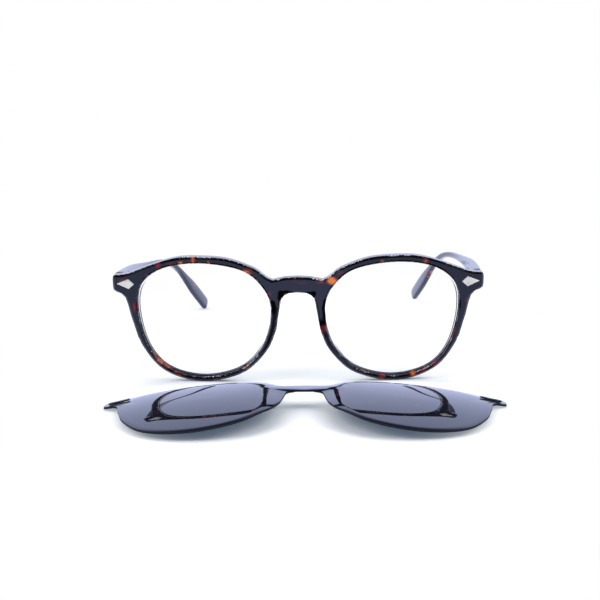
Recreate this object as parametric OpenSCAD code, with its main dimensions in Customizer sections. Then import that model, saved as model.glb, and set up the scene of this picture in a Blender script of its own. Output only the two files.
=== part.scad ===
// Round acetate eyeglasses with a magnetic clip-on sun lens.
// The glasses stand on their lower rims and temple tips with the temples open, and the
// clip-on lies in front of them, front face up. X runs across the front, Y back from the
// clip-on towards the temple tips, Z up. The origin is on the table, in the middle of
// everything. Sizes are millimetres and angles are degrees.
// The front is drawn flat as X and Z about the lens centre height, then bent and leant.

/* [Front] */
// Width of each lens opening
lens_w = 50.2; // [46:0.2:54]
// Height of each lens opening
lens_h = 44.2; // [39:0.2:47]
// Distance between the two lens openings
dbl = 20.2; // [17:0.2:23]
// Width of the rim above the lens and at its sides
rim_w = 2.8; // [2.2:0.1:3.6]
// Width of the rim below the lens
rim_low_w = 1.8; // [1.6:0.1:3]
// Thickness of the front from face to back
front_t = 4.0; // [3.6:0.1:5]
// Radius of the curve of the front, seen from above
front_r = 440; // [250:1:600]
// Lean of the front, top towards the viewer
front_lean = 4.4; // [0:0.1:8]
// Bevel along the edges of the front face
face_bevel = 0.8; // [0.3:0.05:1]
// Bevel along the edges of the back
back_bevel = 0.5; // [0.2:0.05:0.8]

/* [Bridge] */
// Drop of the bridge's top edge below the top of the lenses
bridge_drop = 5.1; // [3:0.1:8]
// Height of the bridge from its top edge to the nose arch
bridge_h = 5.9; // [4:0.1:8]

/* [End pieces] */
// Reach of the end piece past the lens opening
end_reach = 9.25; // [8.8:0.05:12]
// Drop of the end piece's top edge below the top of the lenses
end_drop = 5.0; // [3:0.1:7]
// Height of the end piece
end_h = 6.4; // [6:0.1:8]

/* [Lenses] */
// Thickness of the clear lenses
lens_t = 1.6; // [1.2:0.1:2]
// Depth of the groove that holds the lens
groove_depth = 0.8; // [0.5:0.05:1]
// Width of the mouth of the groove
groove_w = 1.6; // [1.2:0.1:1.8]
// Distance from the front face to the middle of the groove
groove_at = 1.9; // [1.7:0.1:2.2]
// Extra dome of the clear lens beyond the curve of the front
lens_dome = 1.2; // [0.4:0.1:1.6]
// Clearance between a lens and its groove
lens_fit = 0.1; // [0.05:0.01:0.2]

/* [Plaques and magnets] */
// Length of the kite-shaped plaque
plaque_l = 6.8; // [5:0.1:7]
// Height of the kite-shaped plaque
plaque_h = 3.8; // [2.6:0.1:4]
// Thickness of the plaque
plaque_t = 0.8; // [0.6:0.05:1]
// How far the plaque stands out of the front
plaque_stand = 0.25; // [0.1:0.05:0.4]
// Diameter of the magnet behind each plaque
magnet_d = 2.6; // [2:0.1:2.8]
// Thickness of the magnet behind each plaque
magnet_t = 1.0; // [0.8:0.1:1.2]
// Clearance round each piece that sits in a pocket
pocket_fit = 0.05; // [0.03:0.01:0.1]

/* [Temples] */
// Length of the temple along its centre line
temple_len = 150; // [135:1:155]
// Distance along the temple to the start of the ear bend
bend_start = 79; // [60:1:90]
// Length of temple over which it bends
bend_len = 38; // [18:1:60]
// Angle of the ear bend
bend_deg = 31; // [25:1:45]
// Outward bow of the temple as it leaves the hinge
bow_out = 5.5; // [0:0.5:6]
// Inward turn of the part behind the ear
ear_turn = 12.5; // [0:0.5:15]
// Thickness of the temple at the hinge
temple_t = 3.7; // [3.2:0.1:3.9]
// Thickness of the temple beyond its front part
temple_mid_t = 2.5; // [2.3:0.1:3.6]
// Height of the temple at the hinge
temple_h = 6.0; // [5.6:0.1:7]
// Height of the temple at its slimmest
temple_mid_h = 2.4; // [2.3:0.1:5]
// Height of the paddle at the tip
tip_h = 6.2; // [5:0.1:9]
// Inward swing of the left temple at rest
swing_left = 2.4; // [0:0.1:6]
// Outward swing of the right temple at rest
swing_out_right = 0.6; // [0:0.1:2]
// Height of the right tip above the table
right_tip_lift = 3.6; // [0:0.1:4]
// Gap between the temple's end and the front
butt_gap = 0.15; // [0.1:0.01:0.3]
// Diameter of the core wire inside the temple
wire_d = 1.4; // [1:0.1:1.6]

/* [Hinges] */
// Outer diameter of the hinge barrels
barrel_d = 2.6; // [2.2:0.1:2.8]
// Height of one barrel of the five
barrel_h = 0.95; // [0.8:0.05:1.1]
// Gap between neighbouring barrels
barrel_gap = 0.06; // [0.04:0.01:0.1]
// Diameter of the hinge screw
screw_d = 1.3; // [1:0.05:1.5]
// Radial clearance of the screw in the barrels
screw_fit = 0.05; // [0.02:0.01:0.08]
// Thickness of the hinge leaves
leaf_t = 0.9; // [0.7:0.05:1]

/* [Nose pads] */
// Height of a nose pad
pad_h = 14; // [11:0.5:16]
// How far a nose pad stands behind the rim
pad_reach = 4.6; // [3:0.1:6]
// Width of a nose pad
pad_w = 3.4; // [2.6:0.1:5]

/* [Clip-on] */
// Thickness of the tinted sheet
clip_t = 0.8; // [0.6:0.05:1.2]
// Gap between the worn clip-on and the front
clip_gap = 0.6; // [0.45:0.05:1]
// Rise of each tinted lens from its upper and lower edges to its middle
clip_arch = 2.4; // [1:0.1:3]
// Radius of the clip-on's own curve, tighter than the front's so that its tabs press on
clip_r = 340; // [250:5:440]
// How far the tabs reach past the end pieces
clip_over = 0.35; // [0:0.05:0.6]
// Height of the tab that covers each end piece
tab_h = 6.0; // [4.6:0.1:6.6]
// Height of the clip-on's own bridge
clip_bridge_h = 4.9; // [4:0.1:5.6]
// Distance of the lying clip-on in front of the glasses
clip_ahead = 45.7; // [40:0.1:60]
// Distance of the lying clip-on to the right of the glasses
clip_aside = 2.5; // [-5:0.1:5]
// Tilt of the lying clip-on, far edge up
clip_tilt = 1.5; // [1:0.1:7]
// Width of the dark magnet strip on each tab
strip_w = 2.2; // [1.8:0.1:2.6]
// Thickness of the magnet strip
strip_t = 0.45; // [0.4:0.05:1]

/* [Hidden] */
LEFT = -1;
RIGHT = 1;
round_fn = 48;

tortoise = "#2b1a1a";
clear_lens = "#dfe8f0";
champagne = "#d8d2c4";
steel = "#9aa0a6";
magnet_grey = "#5b5f66";
tint = "#4b5168";
strip_black = "#17181c";

// Lens shape as fractions of its half width and half height, from the outer side upwards
lens_shape = [[1.00, 0.165], [0.94, 0.60], [0.65, 0.883], [0.20, 0.995], [-0.31, 0.962],
              [-0.69, 0.812], [-0.955, 0.443], [-0.99, 0.02], [-0.855, -0.47], [-0.575, -0.82],
              [-0.12, -0.99], [0.31, -0.965], [0.665, -0.78], [0.893, -0.40]];
lens_n = len(lens_shape);
lens_mid = [dbl / 2 + lens_w / 2, 0];
half_front = dbl / 2 + lens_w + end_reach;
rim_bottom = lens_h / 2 + rim_low_w;
end_top = lens_h / 2 - end_drop;
end_low = end_top - end_h;
bridge_top = lens_h / 2 - bridge_drop;
nose_x = dbl / 2;

// Smooth curve through p1 and p2, led by their neighbours
function spline(p0, p1, p2, p3, t) =
    0.5 * (2 * p1 + (p2 - p0) * t + (2 * p0 - 5 * p1 + 4 * p2 - p3) * t * t
    + (3 * p1 - p0 - 3 * p2 + p3) * t * t * t);
function unit(v) = v / norm(v);
function flip(v) = [-v[0], v[1], v[2]];
function clamp01(x) = max(0, min(1, x));
function smooth(x) = let (c = clamp01(x)) c * c * (3 - 2 * c);
function mix(a, b, t) = a + (b - a) * t;

// Point of the lens outline; t counts the points of lens_shape and wraps round
function shape_pt(i) = lens_shape[(i + 4 * lens_n) % lens_n];
function lens_pt(t) =
    let (i = floor(t), p = spline(shape_pt(i - 1), shape_pt(i), shape_pt(i + 1), shape_pt(i + 2), t - i))
    lens_mid + [p[0] * lens_w / 2, p[1] * lens_h / 2];
// Outward normal of the lens outline
function lens_out(t) =
    let (d = lens_pt(t + 0.02) - lens_pt(t - 0.02))
    unit([d[1], -d[0]]);

// The outline of one half is a row of spokes, [place on the lens outline, outer point].
// It runs from the middle of the nose arch down round the rim, out to the end piece and
// back along the brow to the middle of the bridge. The waist draws in the notch under the
// end piece.
function rim_spoke(t, w) = [t, lens_pt(t) + w * lens_out(t)];
// The rim narrows below the lens
function rim_at(t) = mix(rim_w, rim_low_w, smooth((t - 6.8) / 2.2) * smooth((14.1 - t) / 2));
function half_spokes(arch, out, low, top, waist) = [
    [6.0, [0, arch]],
    [6.05, [0.32 * nose_x, arch - 0.25]],
    [6.15, [0.5 * nose_x, arch - 1.2]],
    [6.3, [nose_x - 4, arch - 2.5]],
    [6.5, [nose_x - 3.45, arch - 5]],
    rim_spoke(6.85, rim_w),
    for (t = [7.4, 8, 9, 10, 11, 12, 13, 13.6]) rim_spoke(t, rim_at(t)),
    rim_spoke(13.85, rim_w + 0.3),
    [14.05, [out - 5.45 - waist, low - 5]],
    [14.2, [out - 4.55 - waist, low - 2.2]],
    [14.35, [out - 3.05 - waist, low - 0.7]],
    [14.45, [out - 1.1, low]],
    [14.55, [out - 0.2, low + 0.6]],
    [14.65, [out, mix(low, top, 0.3)]],
    [14.9, [out, mix(low, top, 0.8)]],
    [15.0, [out - 0.25, top - 0.35]],
    [15.05, [out - 1.1, top]],
    [15.3, [out - 3.8, top + 0.25]],
    [15.5, [out - 6.2, top + 0.8]],
    rim_spoke(15.75, rim_w + 0.4),
    for (t = [16.1, 16.5, 17]) rim_spoke(t, rim_w - 0.15),
    rim_spoke(18, rim_w),
    rim_spoke(19, rim_w + 0.15),
    [19.35, [nose_x + 3.2, bridge_top + 1.25]],
    [19.5, [nose_x + 1.0, bridge_top - 0.35]],
    [19.58, [nose_x - 0.8, bridge_top - 1.2]],
    [19.65, [nose_x - 2.8, bridge_top - 0.75]],
    [19.72, [nose_x - 5.6, bridge_top - 0.2]],
    [19.8, [0, bridge_top]]
];
function flip_x(s) = [s[0], [-s[1][0], s[1][1]]];

// Stations between the spokes, at most spoke_step apart along the lens outline
spoke_step = 0.2;
function stations(spokes) =
    let (n = len(spokes), row = concat([flip_x(spokes[1])], spokes, [flip_x(spokes[n - 2])]))
    [for (i = [1 : n])
        let (gap = i < n ? row[i + 1][0] - row[i][0] : 0,
             steps = i < n ? max(1, ceil(gap / spoke_step)) : 1)
        for (k = [0 : steps - 1])
            [row[i][0] + gap * k / steps,
             i < n ? spline(row[i - 1][1], row[i][1], row[i + 1][1], row[i + 2][1], k / steps) : row[i][1]]];
// Outward normal of the outer line at station i
function outer_out(st, i) =
    let (n = len(st),
         before = i == 0 ? flip_x(st[1])[1] : st[i - 1][1],
         after = i == n - 1 ? flip_x(st[n - 2])[1] : st[i + 1][1],
         d = after - before)
    unit([d[1], -d[0]]);

front_stations = stations(half_spokes(bridge_top - bridge_h, half_front, end_low, end_top, 0));
clip_out = half_front + clip_over;
tab_drop = 1.2;
clip_low = end_low + (end_h - tab_h) / 2 - tab_drop;
clip_top = clip_low + tab_h;
clip_stations = stations(half_spokes(bridge_top - clip_bridge_h, clip_out, clip_low, clip_top, 0.6));

// Depth of the curved front behind its foremost line
function sag(x, r = front_r) = r - sqrt(r * r - x * x);
// Flat drawing point p and depth v behind the face, bent round a curve of radius r
function bent(p, v, r = front_r) = [p[0], sag(p[0], r) + v, p[1] + rim_bottom];
function leant_z(q) = q[1] * sin(front_lean) + q[2] * cos(front_lean);
function turn_x(q, a) = [q[0], q[1] * cos(a) - q[2] * sin(a), q[1] * sin(a) + q[2] * cos(a)];

// The front stands on the lowest point of its outer line
front_rise = -min([for (s = front_stations) leant_z(bent(s[1], face_bevel))]);
function front_world(q) = turn_x(q, front_lean) + [0, 0, front_rise];

// Each tinted lens is arched forward from top to bottom. The arch runs on into the tabs and
// dies out towards the bridge.
arch_from = nose_x - 6.1;
arch_full = nose_x + 5.9;
function arch_at(p) =
    clip_arch * smooth((abs(p[0]) - arch_from) / (arch_full - arch_from)) * (1 - pow(p[1] / rim_bottom, 2));
function arched(p, v) = bent(p, v - arch_at(p), clip_r);

// The lying clip-on: depth points down, and the drawing's Z points away from the viewer
lying_turn = clip_tilt - 90;
clip_rise = -min([for (s = clip_stations) turn_x(arched(s[1], -clip_gap), lying_turn)[2]]);
clip_shift = [clip_aside, -clip_ahead - rim_bottom * cos(clip_tilt), clip_rise];

// Place of the hinge on the front: axis beside the temple's inner face, behind the leaf
end_mid = (end_top + end_low) / 2;
temple_out = 0.2;
axis_x = half_front - temple_out - temple_t - barrel_d / 2 - 0.6;
axis_back = 3.1;
axis_pt = front_world(bent([axis_x, end_mid], front_t + axis_back));
barrels = 5;
barrel_pitch = barrel_h + barrel_gap;
stack_h = barrels * barrel_pitch - barrel_gap;

// Centre line of a temple, in a frame on the hinge axis with Y along the temple
temple_x = half_front - temple_out - temple_t / 2 - axis_x;
bow_len = 60;
turn_start = 52;
turn_len = 43;
slim_start = 28;
slim_len = 50;
paddle_start = 108;
paddle_len = 25;
temple_step = 2.5;
temple_rows = ceil(temple_len / temple_step);
function bend_at(s) = smooth((s - bend_start) / bend_len);
function heading(s) =
    let (p = bend_deg * bend_at(s),
         y = ear_turn * smooth((s - turn_start) / turn_len) - bow_out * (1 - smooth(s / bow_len)))
    [-sin(y) * cos(p), cos(y) * cos(p), -sin(p)];
temple_path = [for (i = 0, p = [temple_x, -axis_back, 0];
                    i <= temple_rows;
                    p = p + heading((i + 0.5) * temple_len / temple_rows) * temple_len / temple_rows,
                    i = i + 1) p];
function path_pt(s) =
    let (f = clamp01(s / temple_len) * temple_rows, i = min(floor(f), temple_rows - 1))
    mix(temple_path[i], temple_path[i + 1], f - i);
tip_round = tip_h * 0.55;
function tip_end(s) =
    let (r = clamp01((s - temple_len + tip_round) / tip_round))
    sqrt(max(0, 1 - r * r));
function temple_height(s) =
    let (body = mix(temple_h, temple_mid_h, smooth((s - slim_start) / slim_len)),
         paddle = smooth((s - paddle_start) / paddle_len))
    mix(body, tip_h, paddle) * max(0.12, tip_end(s));
function temple_thick(s) =
    mix(temple_t, temple_mid_t, smooth(s / bow_len)) * max(0.35, pow(tip_end(s), 0.4));

// Rounded section of the temple at distance s, square to the centre line
section_sides = 20;
function soft_cos(a) = sign(cos(a)) * pow(abs(cos(a)), 0.55);
function temple_ring(s) =
    let (h = heading(s), across = unit([h[1], -h[0], 0]), up = cross(across, h), p = path_pt(s),
         t = temple_thick(s) / 2, z = temple_height(s) / 2)
    [for (k = [0 : section_sides - 1])
        let (a = 360 * (k + 0.5) / section_sides)
        p + across * t * soft_cos(a) + up * z * soft_cos(a - 90)];
tip_rows = 5;
temple_stations = concat([for (i = [1 : 24]) i * (temple_len - tip_round) / 24],
    [for (i = [1 : tip_rows]) temple_len - tip_round * (1 - sin(90 * i / tip_rows))]);

// Lowest point of the tip once the temple slopes down by a
function tip_low(a) =
    min([for (s = temple_stations) if (s > paddle_start) for (q = temple_ring(s)) turn_x(q, -a)[2]]);
// Slope of a temple that brings its tip to a height over the table, corrected four times
function slope_once(a, lift_mm) =
    a + atan((axis_pt[2] + tip_low(a) - lift_mm) / (0.9 * temple_len));
function slope_for(lift_mm) =
    slope_once(slope_once(slope_once(slope_once(3, lift_mm), lift_mm), lift_mm), lift_mm);
slope_left = slope_for(0);
slope_right = slope_for(right_tip_lift);
function side_slope(side) = side == LEFT ? slope_left : slope_right;
function side_swing(side) = side == LEFT ? swing_left : -swing_out_right;

// Everything is moved so that the origin lies in the middle, on the table
function turn_z(q, a) = [q[0] * cos(a) - q[1] * sin(a), q[0] * sin(a) + q[1] * cos(a), q[2]];
function temple_world(q, side) = turn_x(turn_z(q, side_swing(side)), -side_slope(side)) + axis_pt;
function temple_far(side, axis) = max([for (s = temple_stations, q = temple_ring(s)) temple_world(q, side)[axis]]);
tip_far = max(temple_far(LEFT, 1), temple_far(RIGHT, 1));
clip_near = min([for (s = clip_stations) turn_x(arched(s[1], -clip_gap), lying_turn)[1]]) + clip_shift[1];
middle_y = (tip_far + clip_near) / 2;
reach_left = max(half_front, temple_far(LEFT, 0));
reach_right = max(half_front, temple_far(RIGHT, 0), clip_aside + clip_out);
middle_x = (reach_right - reach_left) / 2;
middle = [middle_x, middle_y, 0];
echo(middle = middle, hinge_axis_right = axis_pt - middle, hinge_axis_left = flip(axis_pt) - middle);
echo(slope_left = slope_left, slope_right = slope_right, clip_shift = clip_shift - middle);

module on_table() translate(-middle) children();
module sided(side) mirror([side == LEFT ? 1 : 0, 0, 0]) children();
// Frame of the front: X and Z of the flat drawing, Y the depth behind the face
module front_frame() on_table() translate([0, 0, front_rise]) rotate([front_lean, 0, 0])
    translate([0, 0, rim_bottom]) children();
module clip_frame() on_table() translate(clip_shift) rotate([lying_turn, 0, 0])
    translate([0, 0, rim_bottom]) children();
// Frame that touches a curved face at drawing point p, Y straight into it
module at_face(p, side, r = front_r) sided(side) translate([p[0], sag(p[0], r), p[1]])
    rotate([0, 0, asin(p[0] / r)]) children();
// Frame on a hinge axis, Z along the axis and Y along the unswung temple
module hinge_frame(side) on_table() sided(side) translate(axis_pt)
    rotate([-side_slope(side), 0, 0]) children();
module temple_frame(side) hinge_frame(side) rotate([0, 0, side_swing(side)]) children();

// Closed solid from rings of points: rings[i][j], each ring joined to the next
module ringed(rings, closed) {
    n = len(rings);
    m = len(rings[0]);
    last = closed ? n : n - 1;
    sides = [for (i = [0 : last - 1], j = [0 : m - 1])
        let (a = i * m + j, b = i * m + (j + 1) % m,
             c = ((i + 1) % n) * m + (j + 1) % m, d = ((i + 1) % n) * m + j)
        each [[a, b, c], [a, c, d]]];
    caps = closed ? [] : [[for (j = [m - 1 : -1 : 0]) j], [for (j = [0 : m - 1]) (n - 1) * m + j]];
    polyhedron([for (r = rings) each r], concat(sides, caps), convexity = 8);
}

// Section of the front at station i, from the lens side round to the outer side
function front_section(st, i) =
    let (a = lens_pt(st[i][0]), na = lens_out(st[i][0]),
         b = st[i][1], nb = outer_out(st, i), t = front_t)
    [bent(a + back_bevel * na, t), bent(a, t - back_bevel),
     bent(a, groove_at + groove_w / 2), bent(a + groove_depth * na, groove_at),
     bent(a, groove_at - groove_w / 2), bent(a, face_bevel), bent(a + face_bevel * na, 0),
     bent(b - face_bevel * nb, 0), bent(b, face_bevel),
     bent(b, t - back_bevel), bent(b - back_bevel * nb, t)];

// Both halves as one skin. The two sections on the middle plane share their outer points.
module front_blank() {
    st = front_stations;
    n = len(st);
    half = [for (i = [0 : n - 1]) front_section(st, i)];
    m = len(half[0]);
    first_outer = 7;
    function id(h, i, j) = (h == 1 && j >= first_outer && (i == 0 || i == n - 1) ? 0 : h * n * m) + i * m + j;
    pts = concat([for (r = half) each r], [for (r = half, p = r) [-p[0], p[1], p[2]]]);
    quads = [for (h = [0, 1], i = [0 : n - 1], j = [0 : m - 1])
        if (i < n - 1 || j < first_outer || j == m - 1)
        let (k = (i + 1) % n, q = (j + 1) % m, a = id(h, i, j), b = id(h, i, q), c = id(h, k, q), d = id(h, k, j))
        each h == 1 ? [[a, b, c], [a, c, d]] : [[a, c, b], [a, d, c]]];
    translate([0, 0, -rim_bottom]) polyhedron(pts, quads, convexity = 10);
}

// Kite outline of the plaque: blunt end inwards, long point outwards
plaque_mid = [half_front - 4.95, end_mid];
function kite(grow) =
    let (l = plaque_l / 2 + grow * 1.6, h = plaque_h / 2 + grow)
    [[-l, 0], [-l * 0.36, h], [l, 0.04], [-l * 0.36, -h]];
module kite_plate(grow, depth) rotate([-90, 0, 0]) linear_extrude(depth)
    polygon([for (p = kite(grow)) [p[0], -p[1]]]);
// Middle of the plaque's face and its outward direction, where the clip-on's magnet sits
plaque_face = front_world(bent(plaque_mid, -plaque_stand));
plaque_out = turn_x([plaque_mid[0] / front_r, -cos(asin(plaque_mid[0] / front_r)), 0], front_lean);
echo(plaque_face_right = plaque_face - middle, plaque_face_left = flip(plaque_face) - middle, out = plaque_out);

// Seat of a front hinge leaf in the back of the end piece
leaf_w = 5.2;
leaf_h = 5.0;
leaf_mid = [axis_x - 1.2, end_mid];
leaf_sink = 0.7;
leaf_bite = 0.1;
leaf_round = 0.6;
neck_in = 0.5;
module leaf_plate(w, h, t, r) rotate([-90, 0, 0]) linear_extrude(t) hull() {
    for (x = [-1, 1], z = [-1, 1]) translate([x * (w / 2 - r), z * (h / 2 - r)]) circle(r, $fn = 24);
}

module frame_front() color(tortoise) front_frame() difference() {
    front_blank();
    for (side = [LEFT, RIGHT]) {
        at_face(plaque_mid, side) translate([0, -1, 0])
            kite_plate(pocket_fit, 1 + plaque_t - plaque_stand + pocket_fit);
        at_face(plaque_mid, side) rotate([-90, 0, 0])
            cylinder(d = magnet_d + 2 * pocket_fit, h = plaque_t + magnet_t + 2 * pocket_fit, $fn = round_fn);
        at_face(leaf_mid, side) translate([0, front_t - leaf_sink - pocket_fit, 0])
            cube_on([leaf_w + 2 * pocket_fit, front_t, leaf_h + 2 * pocket_fit]);
    }
}
// Block centred in X and Z, standing on the Y = 0 plane
module cube_on(size) translate([-size[0] / 2, 0, -size[2] / 2]) cube(size);

// Lens: bevelled edge in the groove, both faces domed. Rings run from the front's middle
// over the edge to the back's middle.
lens_steps = 4 * lens_n;
function lens_ring(share, v) =
    [for (k = [0 : lens_steps - 1])
        let (t = k * lens_n / lens_steps, p = lens_mid + share * (lens_pt(t) - lens_mid))
        bent(p, v - lens_dome * (1 - share * share))];
function lens_edge(grow, v) =
    [for (k = [0 : lens_steps - 1])
        let (t = k * lens_n / lens_steps) bent(lens_pt(t) + grow * lens_out(t), v)];
module lens(side) {
    lip = 0.45;
    rings = [lens_ring(0.03, groove_at - lens_t / 2), lens_ring(0.4, groove_at - lens_t / 2),
             lens_ring(0.75, groove_at - lens_t / 2),
             lens_edge(-lens_fit, groove_at - lip), lens_edge(groove_depth - 2 * lens_fit, groove_at),
             lens_edge(-lens_fit, groove_at + lip),
             lens_ring(0.75, groove_at + lens_t / 2), lens_ring(0.4, groove_at + lens_t / 2),
             lens_ring(0.03, groove_at + lens_t / 2)];
    color(clear_lens) front_frame() sided(side) translate([0, 0, -rim_bottom]) ringed(rings, false);
}

// Nose pad: a flat-sided drop glued behind the rim beside the nose
pad_sides = 16;
pad_rows = 7;
pad_low = 1.6;
pad_lean = 0.9;
pad_curve = 0.03;
module nose_pad(side) {
    seat = front_t + 0.05;
    function pad_ring(row) =
        let (f = row / pad_rows, grow = sqrt(1 - f * f * 0.98), lean_in = pad_lean * f)
        [for (k = [0 : pad_sides - 1])
            let (a = 360 * k / pad_sides,
                 z = -pad_low - lean_in + pad_h / 2 * grow * cos(a),
                 x = lens_pt(7.3)[0] - 1.5 + pad_curve * z * z * (z < 0 ? 1 : 0.4) + lean_in * 0.3
                     - pad_w / 2 * (0.55 + 0.45 * grow) * sin(a) * grow)
            bent([x, z], seat + pad_reach * f)];
    color(tortoise) front_frame() sided(side) translate([0, 0, -rim_bottom])
        ringed([for (row = [0 : pad_rows]) pad_ring(row)], false);
}

module plaque(side) color(champagne) front_frame() at_face(plaque_mid, side) {
    translate([0, -plaque_stand, 0]) kite_plate(0, plaque_t);
}

module front_magnet(side) color(magnet_grey) front_frame() at_face(plaque_mid, side)
    translate([0, plaque_t - plaque_stand + pocket_fit, 0]) rotate([-90, 0, 0])
        cylinder(d = magnet_d, h = magnet_t, $fn = round_fn);

// Barrel number i of the five, its bore cut through
module barrel(i) translate([0, 0, i * barrel_pitch - stack_h / 2])
    cylinder(d = barrel_d, h = barrel_h, $fn = round_fn);
module screw_bore() translate([0, 0, -stack_h])
    cylinder(d = screw_d + 2 * screw_fit, h = 2 * stack_h, $fn = round_fn);
// Neck of barrel i, a block from the axis
module neck(i, low, size) translate([low[0], low[1], i * barrel_pitch - stack_h / 2])
    cube([size[0], size[1], barrel_h]);

module front_hinge(side) color(steel) {
    difference() {
        union() {
            front_frame() at_face(leaf_mid, side) translate([0, front_t - leaf_sink, 0])
                leaf_plate(leaf_w, leaf_h, leaf_t, leaf_round);
            difference() {
                hinge_frame(side) for (i = [0, 2, 4]) {
                    barrel(i);
                    neck(i, [-barrel_d / 2, -axis_back - neck_in], [barrel_d, axis_back + neck_in]);
                }
                front_frame() at_face(leaf_mid, side)
                    translate([0, leaf_t - leaf_sink - leaf_bite, 0]) cube_on([leaf_w * 2, front_t, leaf_h * 3]);
            }
        }
        hinge_frame(side) screw_bore();
    }
}

// The temple's leaf: a plate let into the inner face, two barrels on short necks
temple_in = temple_x - temple_t / 2;
plate_sink = 0.6;
plate_x = temple_in + plate_sink - leaf_t;
plate_from = 0.2;
plate_l = 11;
plate_h = 4.2;
module temple_plate(grow) translate([plate_x - grow, plate_from - grow, -plate_h / 2 - grow])
    cube([leaf_t + 2 * grow, plate_l + 2 * grow, plate_h + 2 * grow]);
module temple_hinge(side) color(steel) temple_frame(side) difference() {
    union() {
        temple_plate(0);
        for (i = [1, 3]) {
            barrel(i);
            neck(i, [0, 0], [plate_x + leaf_t / 2, barrel_d / 2]);
        }
    }
    screw_bore();
}

// Slotted screw. Its shank reaches a little way into the head.
head_d = 2.1;
head_h = 0.6;
slot_w = 0.4;
slot_deep = 0.3;
shank_over = 0.3;
module hinge_screw(side) color(steel) hinge_frame(side) difference() {
    union() {
        translate([0, 0, -stack_h / 2]) cylinder(d = screw_d, h = stack_h + shank_over, $fn = round_fn);
        translate([0, 0, stack_h / 2 + barrel_gap]) cylinder(d = head_d, h = head_h, $fn = round_fn);
    }
    translate([-head_d, -slot_w / 2, stack_h / 2 + barrel_gap + head_h - slot_deep])
        cube([2 * head_d, slot_w, 2 * slot_deep]);
}

// Back of the front beside the hinge as a plane, seen from the temple's own frame
function into_temple(v, side) = turn_z(turn_x(v, side_slope(side)), -side_swing(side));
end_x = half_front - 2;
function back_point(side) =
    into_temple(front_world(bent([end_x, end_mid], front_t + butt_gap)) - axis_pt, side);
function back_normal(side) =
    into_temple(turn_x([-sin(asin(end_x / front_r)), cos(asin(end_x / front_r)), 0], front_lean), side);
// Slide a point along Y onto that plane, so that the temple's end meets the front squarely
function mitred(p, side) =
    let (c = back_point(side), n = back_normal(side))
    [p[0], c[1] - (n[0] * (p[0] - c[0]) + n[2] * (p[2] - c[2])) / n[1], p[2]];
module temple(side) color(tortoise) temple_frame(side) difference() {
    ringed(concat([[for (p = temple_ring(0)) mitred(p, side)]],
        [for (s = temple_stations) temple_ring(s)]), false);
    temple_plate(pocket_fit);
}

wire_start = 14;
wire_end_gap = 9;
wire_sides = 6;
module core_wire(side) {
    rows = 16;
    function wire_ring(s) =
        let (h = heading(s), across = unit([h[1], -h[0], 0]), up = cross(across, h), p = path_pt(s))
        [for (k = [0 : wire_sides - 1])
            let (a = 360 * k / wire_sides) p + wire_d / 2 * (across * cos(a) + up * sin(a))];
    color(steel) temple_frame(side)
        ringed([for (i = [0 : rows]) wire_ring(mix(wire_start, temple_len - wire_end_gap, i / rows))], false);
}

// The tinted sheet: two lenses, bridge and tabs in one piece
module clip_half() {
    face = -clip_gap - clip_t;
    back = -clip_gap;
    shares = [0.02, 0.3, 0.55, 0.8, 1];
    function lens_ring_at(share, v) =
        [for (s = clip_stations) arched(lens_mid + share * (lens_pt(s[0]) - lens_mid), v)];
    function edge_ring(v) = [for (s = clip_stations) arched(s[1], v)];
    ringed(concat([for (share = shares) lens_ring_at(share, face)], [edge_ring(face), edge_ring(back)],
        [for (i = [len(shares) - 1 : -1 : 0]) lens_ring_at(shares[i], back)]), false);
}
module clip_sheet() color(tint) clip_frame() translate([0, 0, -rim_bottom]) {
    clip_half();
    mirror([1, 0, 0]) clip_half();
}

// Dark magnet strip on the face of each tab, with a bend halfway and rounded ends
strip_from_end = 5.65;
strip_drop = 0.3;
strip_outer = [2.4, 0.3];
strip_bend = [-0.4, 0];
strip_inner = [-2.8, -1.2];
strip_off = 0.06;
strip_mid = [clip_out - strip_from_end, (clip_low + clip_top) / 2 - strip_drop];
module strip_arm(a, b) hull() {
    for (p = [a, b]) translate(p) circle(d = strip_w, $fn = 24);
}
strip_slope = atan(2 * clip_arch * strip_mid[1] / pow(rim_bottom, 2));
module clip_magnet(side) color(strip_black) clip_frame() at_face(strip_mid, side, clip_r)
    translate([0, -arch_at(strip_mid) - clip_gap - clip_t, 0]) rotate([-strip_slope - 90, 0, 0])
    translate([0, 0, -strip_t - strip_off]) linear_extrude(strip_t) {
        strip_arm(strip_outer, strip_bend);
        strip_arm(strip_bend, strip_inner);
    }

frame_front();
lens(LEFT);  // lens_left
lens(RIGHT);  // lens_right
nose_pad(LEFT);  // nose_pad_left
nose_pad(RIGHT);  // nose_pad_right
plaque(LEFT);  // plaque_left
plaque(RIGHT);  // plaque_right
front_magnet(LEFT);  // front_magnet_left
front_magnet(RIGHT);  // front_magnet_right
front_hinge(LEFT);  // front_hinge_left
front_hinge(RIGHT);  // front_hinge_right
temple_hinge(LEFT);  // temple_hinge_left
temple_hinge(RIGHT);  // temple_hinge_right
hinge_screw(LEFT);  // hinge_screw_left
hinge_screw(RIGHT);  // hinge_screw_right
temple(LEFT);  // temple_left
temple(RIGHT);  // temple_right
core_wire(LEFT);  // core_wire_left
core_wire(RIGHT);  // core_wire_right
clip_sheet();
clip_magnet(LEFT);  // clip_magnet_left
clip_magnet(RIGHT);  // clip_magnet_right
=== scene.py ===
"""Clip-on eyeglasses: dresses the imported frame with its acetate, lenses, metal fittings and studio."""

import math

import bpy
from bpy.props import FloatProperty, FloatVectorProperty, PointerProperty
from mathutils import Matrix, Vector


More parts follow.
